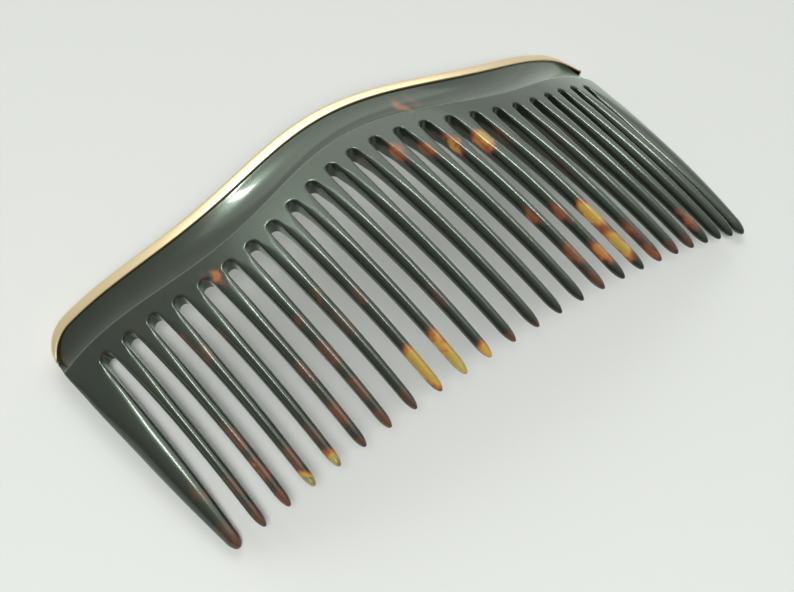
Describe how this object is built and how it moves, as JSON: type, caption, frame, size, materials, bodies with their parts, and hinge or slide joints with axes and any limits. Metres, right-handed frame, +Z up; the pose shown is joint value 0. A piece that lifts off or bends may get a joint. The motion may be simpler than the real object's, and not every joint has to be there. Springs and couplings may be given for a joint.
{
  "type": "hair comb",
  "caption": "Curved one-piece hair comb: a serpentine heading capped by a narrow gold rim, with a row of tapered teeth.",
  "frame": {"origin": "on the surface that the comb lies on, under the middle of its bounding box", "axes": "+X along the row of teeth, +Y from the tips towards the rim, +Z up, out of the convex face"},
  "size_m": [0.0938, 0.0452, 0.0187],
  "materials": {
    "shell": "polished mottled tortoiseshell, dark brown with amber patches",
    "gold": "polished pale gold"
  },
  "bodies": {
    "root": {"comb_plate": "shell", "gold_rim": "gold", "rim_pins": "gold"}
  },
  "joints": []
}
